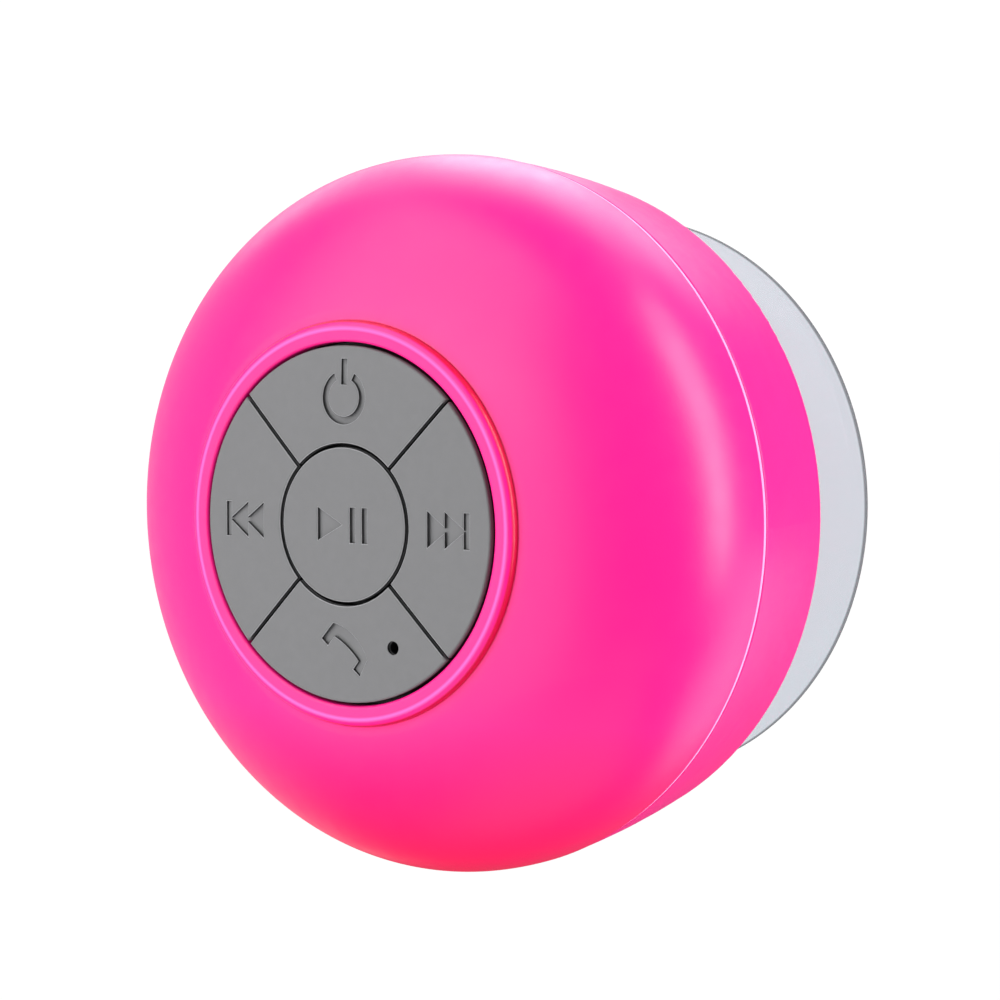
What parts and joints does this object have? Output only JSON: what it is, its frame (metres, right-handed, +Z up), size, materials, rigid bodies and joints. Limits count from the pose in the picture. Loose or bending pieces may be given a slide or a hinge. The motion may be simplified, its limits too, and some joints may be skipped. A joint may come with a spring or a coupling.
{
  "type": "shower speaker",
  "caption": "Round wireless bathroom speaker in a soft dome housing with a press-key pad, a rear-facing driver and a screw-off suction cup for a smooth wall.",
  "frame": {"origin": "centre of the suction cup's lip, on the wall surface", "axes": "+Y into the wall along the speaker's axis, so the keys face -Y; +Z up; +X to the right as seen from the front"},
  "size_m": [0.086, 0.0585, 0.086],
  "materials": {
    "skin_silicone": "matte soft-touch silicone, hot pink",
    "shell_plastic": "satin moulded ABS, hot pink",
    "seam_rubber": "matte light pink elastomer",
    "key_rubber": "matte grey silicone-coated key",
    "cup_vinyl": "translucent soft vinyl, pale blue-grey",
    "cover_rubber": "matte pink silicone",
    "black_rubber": "matte black rubber",
    "dark_plastic": "fine moulded texture",
    "white_plastic": "satin natural nylon",
    "chip_plastic": "matte moulded epoxy",
    "circuit_board": "solder mask over glass laminate",
    "battery_foil": "satin laminated foil",
    "foam": "closed-cell foam",
    "lead_sleeve": "satin insulated lead",
    "zinc_steel": "zinc-plated pressed steel",
    "bright_steel": "bright nickel-plated steel",
    "ferrite": "ground ferrite ring",
    "cone_paper": "pressed paper pulp, doped",
    "copper_wire": "enamelled copper on a paper former",
    "spider_cloth": "resin-treated cotton cloth",
    "mesh_cloth": "water-repellent woven mesh"
  },
  "bodies": {
    "housing": {"acoustic_mesh": "mesh_cloth", "amplifier_chip": "chip_plastic", "battery_cell": "battery_foil", "battery_leads": "lead_sleeve", "battery_pad": "foam", "battery_safety_board": "circuit_board", "board_connectors": "white_plastic", "board_screws": "bright_steel", "chip_antenna": "white_plastic", "clock_crystal": "bright_steel", "front_shell": "dark_plastic", "housing_screws": "bright_steel", "keypad_membrane": "black_rubber", "main_board": "circuit_board", "microphone": "bright_steel", "microphone_boot": "black_rubber", "port_cover_strap": "cover_rubber", "power_inductor": "chip_plastic", "rear_shell": "shell_plastic", "seam_gasket": "seam_rubber", "silicone_skin": "skin_silicone", "speaker_basket": "zinc_steel", "speaker_gasket": "foam", "speaker_leads": "lead_sleeve", "speaker_magnet": "ferrite", "speaker_screws": "bright_steel", "speaker_terminal": "circuit_board", "speaker_top_plate": "zinc_steel", "speaker_yoke": "zinc_steel", "spider": "spider_cloth", "status_led": "white_plastic", "surround": "black_rubber", "tact_switches": "dark_plastic", "usb_board": "circuit_board", "usb_board_screws": "bright_steel", "usb_leads": "lead_sleeve", "usb_receptacle": "bright_steel", "wireless_chip": "chip_plastic"},
    "power_key": {"key_power": "key_rubber", "switch_plunger_power": "dark_plastic"},
    "previous_key": {"key_previous": "key_rubber", "switch_plunger_previous": "dark_plastic"},
    "next_key": {"key_next": "key_rubber", "switch_plunger_next": "dark_plastic"},
    "call_key": {"key_call": "key_rubber", "switch_plunger_call": "dark_plastic"},
    "play_pause_key": {"key_play_pause": "key_rubber", "switch_plunger_play_pause": "dark_plastic"},
    "driver_cone": {"speaker_cone": "cone_paper", "dust_cap": "cone_paper", "voice_coil": "copper_wire"},
    "port_lid": {"port_cover": "cover_rubber"},
    "cup_washer": {"slip_washer": "white_plastic"},
    "cup": {"suction_cup": "cup_vinyl", "cup_stud": "white_plastic"}
  },
  "joints": [
    {"name": "power_press", "type": "slide", "parent": "housing", "child": "power_key", "axis": [0, 1, 0], "range_m": [0, 0.0005], "stiffness_N_per_m": 2500, "springref_m": -0.00012},
    {"name": "previous_press", "type": "slide", "parent": "housing", "child": "previous_key", "axis": [0, 1, 0], "range_m": [0, 0.0005], "stiffness_N_per_m": 2500, "springref_m": -0.00012},
    {"name": "next_press", "type": "slide", "parent": "housing", "child": "next_key", "axis": [0, 1, 0], "range_m": [0, 0.0005], "stiffness_N_per_m": 2500, "springref_m": -0.00012},
    {"name": "call_press", "type": "slide", "parent": "housing", "child": "call_key", "axis": [0, 1, 0], "range_m": [0, 0.0005], "stiffness_N_per_m": 2500, "springref_m": -0.00012},
    {"name": "play_pause_press", "type": "slide", "parent": "housing", "child": "play_pause_key", "axis": [0, 1, 0], "range_m": [0, 0.0005], "stiffness_N_per_m": 2500, "springref_m": -0.00012},
    {"name": "cone_stroke", "type": "slide", "parent": "housing", "child": "driver_cone", "axis": [0, 1, 0], "range_m": [-0.001, 0.001], "stiffness_N_per_m": 1000, "deforming": ["surround", "spider"]},
    {"name": "port_lid_swing", "type": "hinge", "parent": "housing", "child": "port_lid", "pos_m": [0.008, -0.0285, -0.0412], "axis": [0, -1, 0], "range_deg": [0, 110], "stiffness_Nm_per_rad": 0.001, "springref_deg": -11.46, "deforming": ["port_cover_strap"]},
    {"name": "washer_slide", "type": "slide", "parent": "housing", "child": "cup_washer", "axis": [0, 1, 0], "range_m": [0, 0.008]},
    {"name": "cup_turn", "type": "hinge", "parent": "cup_washer", "child": "cup", "pos_m": [0, 0, 0], "axis": [0, 1, 0], "range_deg": [0, 1440]}
  ],
  "couplings": [
    {"joint": "washer_slide", "follows": "cup_turn", "m_per_rad": 0.0003183}
  ]
}
